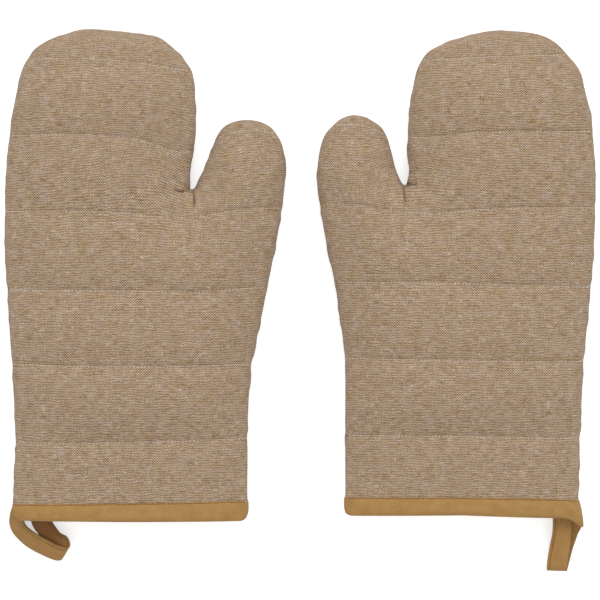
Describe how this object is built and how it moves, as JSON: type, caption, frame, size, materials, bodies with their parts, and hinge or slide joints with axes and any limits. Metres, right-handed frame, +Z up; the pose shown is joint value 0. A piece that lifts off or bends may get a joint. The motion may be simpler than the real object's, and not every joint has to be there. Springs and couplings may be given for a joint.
{
  "type": "pair of oven mitts",
  "caption": "Quilted padded mitts with thumbs, lined hand cavities, taped cuff mouths and a folded hanging loop at each cuff, lying palm down side by side",
  "frame": {"origin": "on the surface that the pair lies on, under the middle of the pair's box", "axes": "+X runs across both mitts from the left one to the right one, +Y from the cuffs to the fingertips, +Z up out of the backs of the hands"},
  "size_m": [0.3841, 0.3521, 0.0351],
  "materials": {
    "woven_check": "ochre and off-white woven cotton with slubs, matt",
    "cotton_batt": "soft off-white cotton batt",
    "plain_lining": "plain woven ecru cotton, matt",
    "twill_tape": "ochre cotton twill tape, matt",
    "folded_tape": "ochre cotton twill tape folded double and edge stitched, matt"
  },
  "bodies": {
    "left_mitt": {"left_back_shell": "woven_check", "left_back_wadding": "cotton_batt", "left_back_lining": "plain_lining", "left_palm_shell": "woven_check", "left_palm_wadding": "cotton_batt", "left_palm_lining": "plain_lining", "left_cuff_binding": "twill_tape"},
    "left_loop": {"left_hanging_loop": "folded_tape"},
    "right_mitt": {"right_back_shell": "woven_check", "right_back_wadding": "cotton_batt", "right_back_lining": "plain_lining", "right_palm_shell": "woven_check", "right_palm_wadding": "cotton_batt", "right_palm_lining": "plain_lining", "right_cuff_binding": "twill_tape"},
    "right_loop": {"right_hanging_loop": "folded_tape"}
  },
  "joints": [
    {"name": "left_loop_turn", "type": "hinge", "parent": "left_mitt", "child": "left_loop", "pos_m": [-0.17956, -0.1466, 0.0086], "axis": [-1, 0, 0], "range_deg": [0, 90]},
    {"name": "right_mitt_lift", "type": "slide", "parent": "left_mitt", "child": "right_mitt", "axis": [0, 0, 1], "range_m": [0, 0.15]},
    {"name": "right_loop_turn", "type": "hinge", "parent": "right_mitt", "child": "right_loop", "pos_m": [0.1735, -0.144, 0.0086], "axis": [-1, 0, 0], "range_deg": [0, 90]}
  ]
}
